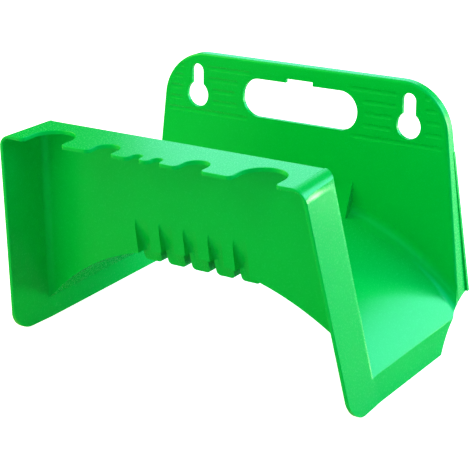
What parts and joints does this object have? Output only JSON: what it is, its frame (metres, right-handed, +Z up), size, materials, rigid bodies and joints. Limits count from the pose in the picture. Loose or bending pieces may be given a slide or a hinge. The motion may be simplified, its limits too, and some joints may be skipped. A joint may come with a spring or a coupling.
{
  "type": "wall-mounted hose hanger",
  "caption": "Wall hanger for a coiled garden hose: arched saddle, leaning front wall, slotted tool shelf, side bands, and a rimmed back plate with keyholes and a hand opening.",
  "frame": {"origin": "on the house wall's plane, midway between the centres of the entry circles of the keyholes", "axes": "+X to the right as one faces the hanger, +Y into the house wall, +Z up"},
  "size_m": [0.237, 0.1599, 0.1454],
  "materials": {
    "moulding": "satin moulded polypropylene"
  },
  "bodies": {
    "root": {"wall_plate": "moulding", "plate_rim": "moulding", "rim_lip_left": "moulding", "rim_lip_right": "moulding", "saddle": "moulding", "front_wall": "moulding", "tool_shelf": "moulding", "side_band_left": "moulding", "side_band_right": "moulding", "front_gusset_1": "moulding", "front_gusset_2": "moulding", "front_gusset_3": "moulding", "front_gusset_4": "moulding", "front_gusset_5": "moulding", "rear_gusset_1": "moulding", "rear_gusset_2": "moulding", "rear_gusset_3": "moulding", "rear_gusset_4": "moulding", "rear_gusset_5": "moulding", "saddle_rib_1": "moulding", "saddle_rib_2": "moulding", "saddle_rib_3": "moulding", "saddle_rib_4": "moulding", "saddle_rib_5": "moulding"}
  },
  "joints": []
}
